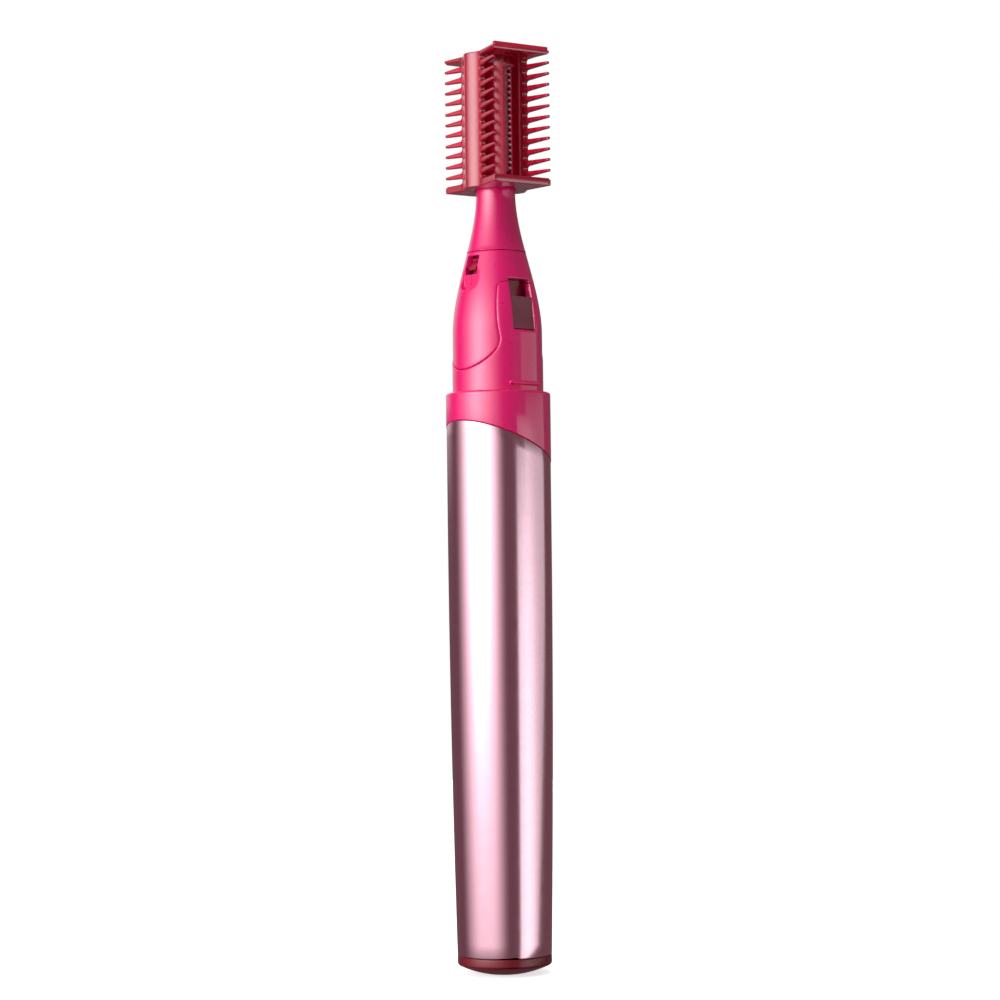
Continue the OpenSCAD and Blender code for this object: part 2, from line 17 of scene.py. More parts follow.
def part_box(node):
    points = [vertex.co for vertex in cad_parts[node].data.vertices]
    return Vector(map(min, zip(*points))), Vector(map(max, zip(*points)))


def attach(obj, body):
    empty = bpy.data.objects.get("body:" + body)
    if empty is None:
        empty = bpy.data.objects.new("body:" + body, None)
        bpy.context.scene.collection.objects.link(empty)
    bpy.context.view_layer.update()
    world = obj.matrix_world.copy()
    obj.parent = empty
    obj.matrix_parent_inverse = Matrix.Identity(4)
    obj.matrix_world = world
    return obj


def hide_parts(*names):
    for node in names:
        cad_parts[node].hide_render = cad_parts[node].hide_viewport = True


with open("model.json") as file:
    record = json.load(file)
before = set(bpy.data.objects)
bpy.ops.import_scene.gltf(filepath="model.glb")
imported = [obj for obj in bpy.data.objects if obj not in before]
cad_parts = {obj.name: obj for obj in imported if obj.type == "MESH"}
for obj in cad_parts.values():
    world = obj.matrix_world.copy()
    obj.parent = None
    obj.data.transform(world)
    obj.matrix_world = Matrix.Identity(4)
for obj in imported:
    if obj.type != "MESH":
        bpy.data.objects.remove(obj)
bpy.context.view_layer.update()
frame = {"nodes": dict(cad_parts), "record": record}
bpy.context.scene.view_settings.view_transform = "Standard"

MM = 0.001
SEGMENTS = 192  # round a lathed piece
GAP = 0.06  # open parting line between two shells

# The part's sizes, as in the CAD.
BARREL_Z0, BARREL_LOW_R, BARREL_R, BARREL_WIDE_Z = 2.8, 7.15, 7.93, 70
SLEEVE_WALL, LINER_R = 0.4, 6.25
CAP_FLAT_R, CAP_DOME_R, PLUG_R = 3, 16.3, 6.2
COLLAR_R, COLLAR_IN_R, COLLAR_Z1, COLLAR_SEAT_Z = 8, 6.2, 88, 85.4
SEAM_Z, SEAM_SLOPE = 80.2, 3.5 / 8
NECK_R0, NECK_R1, TAPER_Z0, TAPER_Z1 = 6.85, 3, 97, 119
CONE_Z0, NECK_WALL, BASE_PROUD, BASE_Z0 = 109.6, 1, 0.1, 85.45
TONGUE_Z0, TONGUE_Z1, TONGUE_W0, TONGUE_W1, EAR_Z1 = 91.4, 95.8, 5.6, 4.7, 104.7
WINDOW_W, WINDOW_Z0, WINDOW_Z1 = 4.2, 97.2, 105.1
KNOB_Z0, KNOB_Z1 = 97.3, 102.4
LATCH_W, LATCH_Z0, LATCH_Z1 = 2.8, 106, 108.9
POCKET_W, POCKET_Z0, POCKET_R, POCKET_Y = 4, 103.6, 1.3, 4.95
BOSS_W, BOSS_Y = 2.6, 4.15
COMB_Z0, COMB_Z1, PLATE_T, LONG_TIP, SHORT_TIP, COMB_GAPS = 119.3, 140.6, 1.15, 7.8, 6.6, 12
LIP_T, LIP_H = 0.7, 0.5
COMB_ROOT, COMB_SIDE_Y, COMB_BULGE, COMB_WALL = 2.7, 4.3, 0.9, 0.95
COMB_TURN = math.radians(-7)

BODY_OF = {n: b for b, ns in frame["record"]["behaviour"]["bodies"].items() for n in ns}
SLOT_OF = {s["node"]: s["material_slot"] for s in frame["record"]["subparts"]}

# Nodes whose finish isn't the one named after their slot.
FINISH_OF = {"end_cap": "cap_plastic", "switch_knob": "knob_plastic", "guide_comb": "comb_plastic",
             "drive_frame": "crimson_plastic", "blade_holder": "holder_plastic",
             "blade_clamp": "holder_plastic"}


# ---------------------------------------------------------------- materials


class Shader:
    """A node material under construction, around one Principled shader."""

    def __init__(self, name, **sockets):
        self.material = bpy.data.materials.new(name)
        self.material.use_nodes = True
        self.tree = self.material.node_tree
        self.bsdf = self.tree.nodes["Principled BSDF"]
        for socket, value in sockets.items():
            self.bsdf.inputs[socket.replace("_", " ")].default_value = value
        self.coords = self.node("ShaderNodeTexCoord").outputs["Object"]

    def node(self, kind, **settings):
        n = self.tree.nodes.new(kind)
        for k, v in settings.items():
            setattr(n, k, v)
        return n

    def link(self, a, b):
        self.tree.links.new(a, b)

    def stretched(self, scale):
        n = self.node("ShaderNodeMapping")
        n.inputs["Scale"].default_value = scale
        self.link(self.coords, n.inputs["Vector"])
        return n.outputs["Vector"]

    def noise(self, size_mm, detail=3, stretch=(1, 1, 1), rough=0.5):
        n = self.node("ShaderNodeTexNoise")
        n.inputs["Scale"].default_value = 1 / (size_mm * MM)
        n.inputs["Detail"].default_value = detail
        n.inputs["Roughness"].default_value = rough
        self.link(self.stretched(stretch), n.inputs["Vector"])
        return n.outputs["Fac"]

    def cells(self, size_mm):
        n = self.node("ShaderNodeTexVoronoi")
        n.inputs["Scale"].default_value = 1 / (size_mm * MM)
        self.link(self.coords, n.inputs["Vector"])
        return n.outputs["Color"]

    def ramp(self, value, stops, interpolation="LINEAR"):
        n = self.node("ShaderNodeValToRGB")
        n.color_ramp.interpolation = interpolation
        while len(n.color_ramp.elements) < len(stops):
            n.color_ramp.elements.new(0.5)
        for element, (place, colour) in zip(n.color_ramp.elements, stops):
            element.position = place
            element.color = (*colour, 1)
        self.link(value, n.inputs["Fac"])
        return n.outputs["Color"]

    def mapped(self, value, lo, hi, from_lo=0.3, from_hi=0.7):
        n = self.node("ShaderNodeMapRange")
        for socket, v in (("From Min", from_lo), ("From Max", from_hi), ("To Min", lo), ("To Max", hi)):
            n.inputs[socket].default_value = v
        self.link(value, n.inputs["Value"])
        return n.outputs["Result"]

    def colour(self, value, low, high):
        self.link(self.ramp(value, [(0.3, low), (0.7, high)]), self.bsdf.inputs["Base Color"])
        return self

    def roughness(self, value, lo, hi):
        self.link(self.mapped(value, lo, hi), self.bsdf.inputs["Roughness"])
        return self

    def bump(self, *layers):
        """Each layer is (value, strength, depth in millimetres)."""
        normal = None
        for value, strength, depth in layers:
            n = self.node("ShaderNodeBump")
            n.inputs["Strength"].default_value = strength
            n.inputs["Distance"].default_value = depth * MM
            self.link(value, n.inputs["Height"])
            if normal:
                self.link(normal, n.inputs["Normal"])
            normal = n.outputs["Normal"]
        self.link(normal, self.bsdf.inputs["Normal"])
        return self


def plastic(name, low, high, rough, grain_mm, grain_depth, **sockets):
    """Moulded plastic: clouds of slightly different colour, a fine surface grain and handling wear."""
    s = Shader(name, **sockets)
    s.colour(s.noise(6, 4), low, high)
    s.roughness(s.noise(1.6, 5, rough=0.65), *rough)
    s.bump((s.noise(grain_mm, 1), 0.15, grain_depth))
    return s.material


def metal(name, low, high, rough, stretch, **sockets):
    """Rolled or ground metal with a brushed direction."""
    s = Shader(name, Metallic=1.0, **sockets)
    streaks = s.noise(0.25, 4, stretch)
    s.colour(s.noise(3, 4), low, high)
    s.roughness(streaks, *rough)
    s.bump((streaks, 0.25, 0.01))
    return s.material


def sleeve_paint():
    """Metallic paint under lacquer: fine flakes that tilt and tint the surface."""
    s = Shader("sleeve_paint", Metallic=1.0, Coat_Weight=0.3, Coat_Roughness=0.1)
    flakes = s.cells(0.09)
    s.colour(flakes, (0.85, 0.49, 0.59), (0.91, 0.55, 0.65))
    s.roughness(s.noise(2.2, 5, rough=0.6), 0.15, 0.19)
    s.bump((flakes, 0.06, 0.003), (s.noise(0.4, 3), 0.08, 0.003))
    return s.material


def cell_wrap():
    """A plain foil wrap in two tones, with bare steel ends."""
    s = Shader("cell_wrap", Coat_Weight=0.3, Coat_Roughness=0.2)
    lo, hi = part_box("battery_cell")
    split = s.node("ShaderNodeSeparateXYZ")
    s.link(s.coords, split.inputs["Vector"])
    height = s.mapped(split.outputs["Z"], 0, 1, lo.z, hi.z)
    black, copper, steel = (0.012, 0.012, 0.014), (0.62, 0.27, 0.09), (0.6, 0.6, 0.62)
    bands = [(0, steel), (0.014, black), (0.66, steel), (0.667, copper), (0.968, steel)]
    s.link(s.ramp(height, bands, "CONSTANT"), s.bsdf.inputs["Base Color"])
    white, none = (1, 1, 1), (0, 0, 0)
    shine = [(0, white), (0.014, none), (0.66, white), (0.968, white)]
    s.link(s.ramp(height, shine, "CONSTANT"), s.bsdf.inputs["Metallic"])
    s.roughness(s.noise(1.2, 5), 0.2, 0.34)
    s.bump((s.noise(0.8, 4), 0.15, 0.01))
    return s.material


GLOSS = {"Coat_Weight": 1.0, "Coat_Roughness": 0.05, "Coat_IOR": 1.6}
MATERIALS = {
    "pink_plastic": plastic("pink_plastic", (0.78, 0.0008, 0.142), (0.82, 0.0012, 0.154), (0.26, 0.34),
                            0.35, 0.004, **GLOSS),
    "holder_plastic": plastic("holder_plastic", (0.62, 0.0016, 0.055), (0.68, 0.0022, 0.065), (0.24, 0.32),
                              0.35, 0.004, Coat_Weight=0.4, Coat_Roughness=0.08),
    "crimson_plastic": plastic("crimson_plastic", (0.30, 0.0026, 0.030), (0.34, 0.0034, 0.038),
                               (0.24, 0.32), 0.35, 0.004, Coat_Weight=0.4, Coat_Roughness=0.08),
    "cap_plastic": plastic("cap_plastic", (0.15, 0.006, 0.013), (0.19, 0.008, 0.018), (0.26, 0.34),
                           0.35, 0.004, Coat_Weight=0.15, Coat_Roughness=0.08),
    "knob_plastic": plastic("knob_plastic", (0.20, 0.046, 0.070), (0.24, 0.054, 0.080), (0.36, 0.46),
                            0.2, 0.006),
    "comb_plastic": plastic("comb_plastic", (0.56, 0.0060, 0.040), (0.62, 0.0080, 0.048), (0.12, 0.18),
                            0.4, 0.004, Transmission_Weight=0.35, IOR=1.52, **GLOSS),
    "metallic_pink": sleeve_paint(),
    "dark_plastic": plastic("dark_plastic", (0.016, 0.014, 0.019), (0.024, 0.021, 0.027), (0.42, 0.56),
                            0.12, 0.012),
    "white_plastic": plastic("white_plastic", (0.72, 0.70, 0.64), (0.80, 0.78, 0.73), (0.32, 0.42),
                             0.2, 0.008),
    "seal_rubber": plastic("seal_rubber", (0.006, 0.006, 0.007), (0.012, 0.012, 0.013), (0.5, 0.62),
                           0.1, 0.01),
    "steel": metal("steel", (0.52, 0.53, 0.55), (0.64, 0.65, 0.67), (0.2, 0.34), (1, 1, 0.1)),
    "brass": metal("brass", (0.66, 0.44, 0.15), (0.78, 0.55, 0.22), (0.22, 0.36), (1, 1, 0.12)),
    "copper": metal("copper", (0.60, 0.22, 0.09), (0.74, 0.32, 0.14), (0.24, 0.36), (0.2, 0.2, 6)),
    "magnet": plastic("magnet", (0.022, 0.021, 0.022), (0.045, 0.043, 0.045), (0.5, 0.7), 0.15, 0.02),
    "cell_wrap": cell_wrap(),
}


# ------------------------------------------------------------- mesh helpers


def make(name, mesh_data, node, material, sharp=38, merge=1e-6):
    """Builds one piece from (vertices, faces) in millimetres.

    The piece stands for a CAD node, hides that node, takes the material given and rides the node's body.
    """
    verts, faces = mesh_data
    mesh = bpy.data.meshes.new(name)
    mesh.from_pydata([Vector(v) * MM for v in verts], [], faces)
    clean(mesh, sharp, merge)
    mesh.materials.append(MATERIALS[material])
    piece = bpy.data.objects.new(name, mesh)
    bpy.context.scene.collection.objects.link(piece)
    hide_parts(node)
    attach(piece, BODY_OF[node])
    return piece


def clean(mesh, sharp, merge):
    """Merges doubled points, points all faces outwards and shades the mesh smooth up to an angle."""
    bm = bmesh.new()
    bm.from_mesh(mesh)
    bmesh.ops.remove_doubles(bm, verts=bm.verts, dist=merge)
    bmesh.ops.dissolve_degenerate(bm, edges=bm.edges, dist=merge * 0.5)
    bmesh.ops.recalc_face_normals(bm, faces=bm.faces)
    bm.to_mesh(mesh)
    bm.free()
    mesh.shade_smooth()
    mesh.set_sharp_from_angle(angle=math.radians(sharp))


def joined(*parts):
    """Several (vertices, faces) as one."""
    verts, faces = [], []
    for vs, fs in parts:
        faces += [tuple(i + len(verts) for i in f) for f in fs]
        verts += [tuple(v) for v in vs]
    return verts, faces


def mirrored(part):
    """The part together with its mirror image in the XZ plane."""
    verts, faces = part
    return joined(part, ([(x, -y, z) for x, y, z in verts], [f[::-1] for f in faces]))


def turned(part, angle):
    verts, faces = part
    c, s = math.cos(angle), math.sin(angle)
    return [(c * x - s * y, s * x + c * y, z) for x, y, z in verts], faces


def steps(a, b, n):
    return [a + (b - a) * i / n for i in range(n + 1)]


def soften(points, cuts, n=4, closed=True):
    """Rounds the corners of a line. Each corner is cut back by its own length, and 0 leaves it sharp."""
    out = []
    for i, (p, cut) in enumerate(zip(points, cuts)):
        if cut == 0 or (not closed and i in (0, len(points) - 1)):
            out.append(tuple(p))
            continue
        p = Vector(p)
        ends = []
        for q in (Vector(points[i - 1]), Vector(points[(i + 1) % len(points)])):
            way = q - p
            ends.append(p + way.normalized() * min(cut, way.length * 0.49))
        for t in steps(0, 1, n):
            out.append(tuple(ends[0] * (1 - t) ** 2 + p * 2 * t * (1 - t) + ends[1] * t * t))
    return out


def dense(points, step, closed=False):
    """The same line with no stretch longer than step."""
    out = []
    pairs = list(zip(points, points[1:])) + ([(points[-1], points[0])] if closed else [])
    for a, b in pairs:
        n = max(1, math.ceil(math.dist(a, b) / step - 1e-6))
        out += [(a[0] + (b[0] - a[0]) * i / n, a[1] + (b[1] - a[1]) * i / n) for i in range(n)]
    return out if closed else out + [tuple(points[-1])]


def lathe(profile, closed=True):
    """Turns profile(angle), a list of (radius, height), about Z."""
    verts, faces = [], []
    for i in range(SEGMENTS):
        a = 2 * math.pi * i / SEGMENTS
        line = profile(a)
        m = len(line)
        verts += [(r * math.cos(a), r * math.sin(a), z) for r, z in line]
        j = (i + 1) % SEGMENTS
        for k in range(m if closed else m - 1):
            n = (k + 1) % m
            faces.append((i * m + k, j * m + k, j * m + n, i * m + n))
    return verts, faces


def prism(outline, lo, hi, place, bevel=0.08, angle=30):
    """A prism of a flat outline between lo and hi, with rounded edges. place(u, v, w) gives each point."""
    bm = bmesh.new()
    low = [bm.verts.new(place(u, v, lo)) for u, v in outline]
    high = [bm.verts.new(place(u, v, hi)) for u, v in outline]
    bm.faces.new(low)
    bm.faces.new(high)
    for i in range(len(outline)):
        j = (i + 1) % len(outline)
        bm.faces.new((low[i], low[j], high[j], high[i]))
    bmesh.ops.recalc_face_normals(bm, faces=bm.faces)
    if bevel:
        edges = [e for e in bm.edges if e.calc_face_angle(0) > math.radians(angle)]
        bmesh.ops.bevel(bm, geom=edges, offset=bevel, offset_type="OFFSET", segments=3, profile=0.5,
                        affect="EDGES", clamp_overlap=True)
    bm.verts.index_update()
    part = [tuple(v.co) for v in bm.verts], [tuple(v.index for v in f.verts) for f in bm.faces]
    bm.free()
    return part


def offset(points, closed, dist):
    """Moves each point of a line to the line's left."""
    p = np.asarray(points, float)
    if closed:
        before, after = np.roll(p, 1, 0), np.roll(p, -1, 0)
    else:
        before = np.vstack([2 * p[0] - p[1], p[:-1]])
        after = np.vstack([p[1:], 2 * p[-1] - p[-2]])

    def left(v):
        v = v / np.maximum(np.linalg.norm(v, axis=1, keepdims=True), 1e-12)
        return np.c_[-v[:, 1], v[:, 0]]

    n1, n2 = left(p - before), left(after - p)
    n = n1 + n2
    n /= np.maximum(np.linalg.norm(n, axis=1, keepdims=True), 1e-12)
    return p + n * (dist / np.maximum((n * n1).sum(1), 0.6))[:, None]


def nearest(q, a, b, va, vb):
    """Distance from each point q to the nearest segment ab, and the value there."""
    dist, value = np.empty(len(q)), np.empty(len(q))
    ab = b - a
    length = np.maximum((ab * ab).sum(1), 1e-18)
    for i in range(0, len(q), 1000):
        d = q[i : i + 1000, None] - a[None]
        t = np.clip((d * ab).sum(2) / length, 0, 1)
        gap = np.linalg.norm(d - t[..., None] * ab, axis=2)
        k = gap.argmin(1)
        row = np.arange(len(k))
        dist[i : i + 1000] = gap[row, k]
        value[i : i + 1000] = va[k] + (vb[k] - va[k]) * t[row, k]
    return dist, value


def inside(q, loops):
    """Which points q lie inside the loops, holes left out."""
    hit = np.zeros(len(q), bool)
    for loop in loops:
        a, b = loop, np.roll(loop, -1, 0)
        for i in range(0, len(q), 2000):
            x, y = q[i : i + 2000, :1], q[i : i + 2000, 1:]
            across = (a[:, 1] > y) != (b[:, 1] > y)
            rise = np.where(b[:, 1] == a[:, 1], 1, b[:, 1] - a[:, 1])
            at = a[:, 0] + (y - a[:, 1]) / rise * (b[:, 0] - a[:, 0])
            hit[i : i + 2000] ^= ((across & (x < at)).sum(1) % 2).astype(bool)
    return hit


def shell(lines, spacing, outer, inner, edge=None, rings=(0, 0.1, 0.3, 0.6, 1)):
    """A curved sheet with rounded edges.

    Each line is (points, edge radii, closed) on the flattened sheet, with the sheet on its left. Open
    lines end where the first coordinate is -edge or edge, and the sheet is mirrored there. outer and
    inner take flat points and how deep the rounding goes there, and give points in space.
    """
    spots, ties = [], []
    for points, radii, closed in lines:
        for f in rings:
            ring = offset(points, closed, f * np.asarray(radii, float))
            if edge:
                ring[:, 0] = np.clip(ring[:, 0], -edge, edge)
            first, n = len(spots), len(ring)
            spots += ring.tolist()
            ties += [(first + i, first + (i + 1) % n) for i in range(n if closed else n - 1)]
    flat = [np.asarray(points, float) for points, _, _ in lines]
    open_lines = [p for p, line in zip(flat, lines) if not line[2]]
    loops = [p for p, line in zip(flat, lines) if line[2]]
    if open_lines:
        loops.append(np.vstack(open_lines))
    a, b, va, vb = [], [], [], []
    for p, (_, radii, closed) in zip(flat, lines):
        r = np.asarray(radii, float)
        last = None if closed else -1
        a.append(p[:last])
        b.append(np.roll(p, -1, 0)[:last])
        va.append(r[:last])
        vb.append(np.roll(r, -1)[:last])
    a, b, va, vb = np.vstack(a), np.vstack(b), np.concatenate(va), np.concatenate(vb)

    lo, hi = np.vstack(flat).min(0), np.vstack(flat).max(0)
    us = np.linspace(lo[0], hi[0], max(2, round((hi[0] - lo[0]) / spacing)))
    vs = np.linspace(lo[1], hi[1], max(2, round((hi[1] - lo[1]) / spacing)))
    grid = np.array([(u, v) for u in us for v in vs])
    away, radius = nearest(grid, a, b, va, vb)
    keep = (away > radius + 0.5 * spacing) & (inside(grid * (1 - 1e-9), loops))
    spots += grid[keep].tolist()

    verts, _, tris, _, _, _ = delaunay_2d_cdt([Vector(s) for s in spots], ties, [], 0, 1e-5)
    flat_verts = np.array([tuple(v) for v in verts])
    tris = np.array(tris)
    middle = flat_verts[tris].mean(1)
    tris = tris[inside(middle, loops)]
    d, r = nearest(flat_verts, a, b, va, vb)
    left = np.clip(r - d, 0, None)
    depth = r - np.sqrt(np.maximum(r * r - left * left, 0))
    n = len(flat_verts)
    faces = [tuple(t) for t in tris.tolist()] + [(k + n, j + n, i + n) for i, j, k in tris.tolist()]
    count = {}
    for t in tris.tolist():
        for i in range(3):
            e = (t[i], t[(i + 1) % 3])
            count[tuple(sorted(e))] = e if tuple(sorted(e)) not in count else None
    for e in filter(None, count.values()):
        ends = flat_verts[list(e)]
        if edge and (np.abs(np.abs(ends[:, 0]) - edge) < 1e-6).all():
            continue
        faces.append((e[1], e[0], e[0] + n, e[1] + n))
    points = np.vstack([outer(flat_verts, depth), inner(flat_verts, depth)])
    used = sorted({i for f in faces for i in f})
    place = {v: i for i, v in enumerate(used)}
    return [tuple(points[v]) for v in used], [tuple(place[i] for i in f) for f in faces]


def union(parts):
    """One closed mesh from several closed, overlapping ones."""
    objects = []
    for i, (verts, faces) in enumerate(parts):
        mesh = bpy.data.meshes.new(f"union{i}")
        mesh.from_pydata([Vector(v) * MM for v in verts], [], faces)
        clean(mesh, 30, 1e-7)
        objects.append(bpy.data.objects.new(f"union{i}", mesh))
        bpy.context.scene.collection.objects.link(objects[-1])
    for other in objects[1:]:
        m = objects[0].modifiers.new("union", "BOOLEAN")
        m.operation, m.solver, m.object = "UNION", "EXACT", other
    seen = objects[0].evaluated_get(bpy.context.evaluated_depsgraph_get())
    made = seen.to_mesh()
    out = [tuple(v.co / MM) for v in made.vertices], [tuple(p.vertices) for p in made.polygons]
    seen.to_mesh_clear()
    for o in objects:
        bpy.data.objects.remove(o)
    return out


# ------------------------------------------------------------ barrel and cap


def barrel_at(z):
    below = max(0, (BARREL_WIDE_Z - z) / (BARREL_WIDE_Z - BARREL_Z0))
    return BARREL_R - (BARREL_R - BARREL_LOW_R) * below * below


def seam_at(r, angle):
    return SEAM_Z - SEAM_SLOPE * r * math.sin(angle)


def tube_profile(outer, inner, drop, edge, stations=40):
    """A tube from the cap's parting line up to the slanted one, with both radii given by height."""

    def profile(angle):
        top = seam_at(outer(SEAM_Z), angle) - drop
        up = [(outer(z), z) for z in steps(BARREL_Z0, top, stations)]
        in_top = seam_at(inner(SEAM_Z), angle) - drop
        down = [(inner(z), z) for z in steps(in_top, BARREL_Z0, stations)]
        cuts = [edge] + [0] * (stations - 1) + [edge, edge / 2] + [0] * (stations - 1) + [edge / 2]
        return soften(up + down, cuts, 3)

    return profile


def build_barrel():
    outer = tube_profile(barrel_at, lambda z: barrel_at(z) - SLEEVE_WALL, GAP, 0.12)
    make("sleeve", lathe(outer), "barrel_sleeve", "metallic_pink", sharp=50)
    skin = SLEEVE_WALL + 0.02
    liner = tube_profile(lambda z: barrel_at(z) - skin, lambda z: LINER_R, GAP, 0.08, 20)
    make("liner", lathe(liner), "sleeve_liner", "dark_plastic", sharp=50)


def build_cap():
    """A domed plug with a moulding gate's dimple in the middle of its flat."""
    corner_r = 0.5
    dome_z = math.sqrt(CAP_DOME_R**2 - CAP_FLAT_R**2)
    edge_a = math.asin((BARREL_LOW_R - corner_r) / CAP_DOME_R)
    edge_z = dome_z - CAP_DOME_R * math.cos(edge_a)
    line = [(0, 0.18), (0.55, 0.16), (0.75, 0), (CAP_FLAT_R, 0)]
    for a in steps(math.asin(CAP_FLAT_R / CAP_DOME_R), edge_a, 24)[1:]:
        line.append((CAP_DOME_R * math.sin(a), dome_z - CAP_DOME_R * math.cos(a)))
    for a in steps(math.radians(20), math.pi / 2, 10):
        line.append((BARREL_LOW_R - corner_r * (1 - math.sin(a)), edge_z + corner_r * (1.1 - math.cos(a))))
    top = BARREL_Z0 - GAP
    plug_top, floor_z, bore_r = 7.6, 2.4, PLUG_R - 1
    corners = [((BARREL_LOW_R, top), 0.1), ((PLUG_R, top), 0), ((PLUG_R, plug_top - 0.7), 0),
               ((PLUG_R - 0.15, plug_top), 0.1), ((bore_r, plug_top), 0.1), ((bore_r, floor_z), 0.3),
               ((0, floor_z), 0)]
    cuts = [0] * len(line) + [c for _, c in corners]
    line = soften(line + [p for p, _ in corners], cuts, 4, closed=False)
    make("cap", lathe(lambda a: line, closed=False), "end_cap", "cap_plastic", sharp=50)


def build_collar():
    lip_r = NECK_R0 + BASE_PROUD + 0.05

    def profile(angle):
        line = [((r, seam_at(r, angle)), 0.08) for r in (COLLAR_IN_R, COLLAR_R)]
        line += [((COLLAR_R, COLLAR_Z1), 0.42), ((lip_r, COLLAR_Z1), 0.12), ((lip_r, COLLAR_SEAT_Z), 0),
                 ((COLLAR_IN_R, COLLAR_SEAT_Z), 0.1)]
        return soften([p for p, _ in line], [c for _, c in line], 5)

    make("collar", lathe(profile), "collar_ring", "pink_plastic", sharp=50)


# --------------------------------------------------------------------- neck

FLAT_R = 6  # radius that the neck's flattened sheet is laid out on
SHEET_EDGE = FLAT_R * math.pi / 2


def neck_at(z):
    t = np.clip((np.asarray(z, float) - TAPER_Z0) / (TAPER_Z1 - TAPER_Z0), 0, 1)
    return NECK_R0 - (NECK_R0 - NECK_R1) * t * t * (3 - 2 * t)


def neck_slope(z):
    return (neck_at(z + 0.01) - neck_at(z - 0.01)) / 0.02


def on_sheet(x, z, extra):
    return FLAT_R * math.asin(max(-1, min(1, x / float(neck_at(z) + extra)))), z


def neck_outer(extra):
    def place(q, depth):
        turn, z = q[:, 0] / FLAT_R, q[:, 1]
        slope = neck_slope(z)
        n = 1 / np.sqrt(1 + slope * slope)
        r = neck_at(z) + extra - depth * n
        return np.c_[r * np.sin(turn), -r * np.cos(turn), z + depth * slope * n]

    return place


def neck_inner(boss):
    def place(q, depth):
        turn, z = q[:, 0] / FLAT_R, q[:, 1]
        r = neck_at(z) - NECK_WALL
        x, y = r * np.sin(turn), -r * np.cos(turn)
        if boss:
            y = np.where((np.abs(x) < BOSS_W) & (z > POCKET_Z0 - 0.6), np.maximum(y, -BOSS_Y), y)
        return np.c_[x, y, z]

    return place


def tongue_edge(g):
    """The line where the neck's two shells meet, from the middle of a tongue to the top of an ear."""
    drop, top, round_r = TONGUE_Z1 - TONGUE_Z0 + g, EAR_Z1 - g, 0.8
    line = []
    for a in steps(0, math.pi / 2, 40):
        line.append(((TONGUE_W0 + g) * math.sin(a), TONGUE_Z1 - drop * math.cos(a)))
    for a in steps(0, math.pi / 2, 10):
        line.append((TONGUE_W1 + g + round_r * (1 - math.cos(a)), top - round_r * (1 - math.sin(a))))
    return line


def window_side(z, extra):
    """The switch window's edge on the flattened sheet."""
    return FLAT_R * math.acos(WINDOW_W / 2 / float(neck_at(z) + extra)), z


def flipped(line):
    return [(-u, v) for u, v in reversed(line)]


def build_neck():
    step, radius = 0.2, 0.22

    def edge_line(g, extra):
        return [on_sheet(x, z, extra) for x, z in dense(tongue_edge(g), step)]

    # Lower housing: its foot, then its window, ears and the hollow for the tongue from right to left.
    half = edge_line(GAP, BASE_PROUD)
    top = EAR_Z1 - GAP
    left_end = dense([half[-1], (SHEET_EDGE, top)], step)
    corner_z = 99  # where the window's side starts above its rounded lower corner
    corner = [window_side(z, BASE_PROUD) for z in (WINDOW_Z0, corner_z)]
    corner = soften([(SHEET_EDGE, WINDOW_Z0), *corner], [0, 0.35, 0], 6, closed=False)
    side = [window_side(z, BASE_PROUD) for z in steps(corner_z, top - 0.3, 24)]
    over = soften([side[-1], window_side(top, BASE_PROUD), (half[-1][0] + 0.5, top)], [0, 0.25, 0], 5,
                  closed=False)
    window = dense(corner + side[1:] + over[1:] + [half[-1]], step)
    line = window + half[::-1][1:] + flipped(half[::-1])[1:] + flipped(left_end)[1:]
    line = [p for i, p in enumerate(line) if i == 0 or math.dist(p, line[i - 1]) > 1e-4]
    foot = dense([(-SHEET_EDGE, BASE_Z0), (SHEET_EDGE, BASE_Z0)], step)
    base = shell([(foot, [0.1] * len(foot), False), (line, [radius] * len(line), False)], 0.3,
                 neck_outer(BASE_PROUD), neck_inner(False), SHEET_EDGE)
    make("neck_housing", joined(mirrored(base), *[rib(s) for s in (-1, 1)]), "neck_base", "pink_plastic",
         merge=2e-6)

    # Upper cover, with the latch window and its pocket in each tongue.
    half = edge_line(0, 0)
    ear = dense([half[-1], window_side(EAR_Z1, 0)], step)
    side = [window_side(z, 0) for z in (EAR_Z1, WINDOW_Z1)]
    over = soften([ear[-2], *side, (SHEET_EDGE, WINDOW_Z1)], [0, 0.12, 0.3, 0], 5, closed=False)
    left_end = dense([half[-1], (SHEET_EDGE, EAR_Z1)], step)
    line = flipped(left_end) + flipped(half)[1:] + half[1:] + dense(ear[:-1] + over[1:], step)[1:]
    line = [p for i, p in enumerate(line) if i == 0 or math.dist(p, line[i - 1]) > 1e-4]
    crown = dense([(SHEET_EDGE, CONE_Z0 - GAP), (-SHEET_EDGE, CONE_Z0 - GAP)], step)
    outline, radii = latch_outline()
    cover = shell([(line, [radius] * len(line), False), (crown, [0.09] * len(crown), False),
                   (outline, radii, True)], 0.3, neck_outer(0), neck_inner(True), SHEET_EDGE)
    make("neck_shell", joined(mirrored(cover), *pocket_floors()), "neck_cover", "pink_plastic", merge=2e-6)


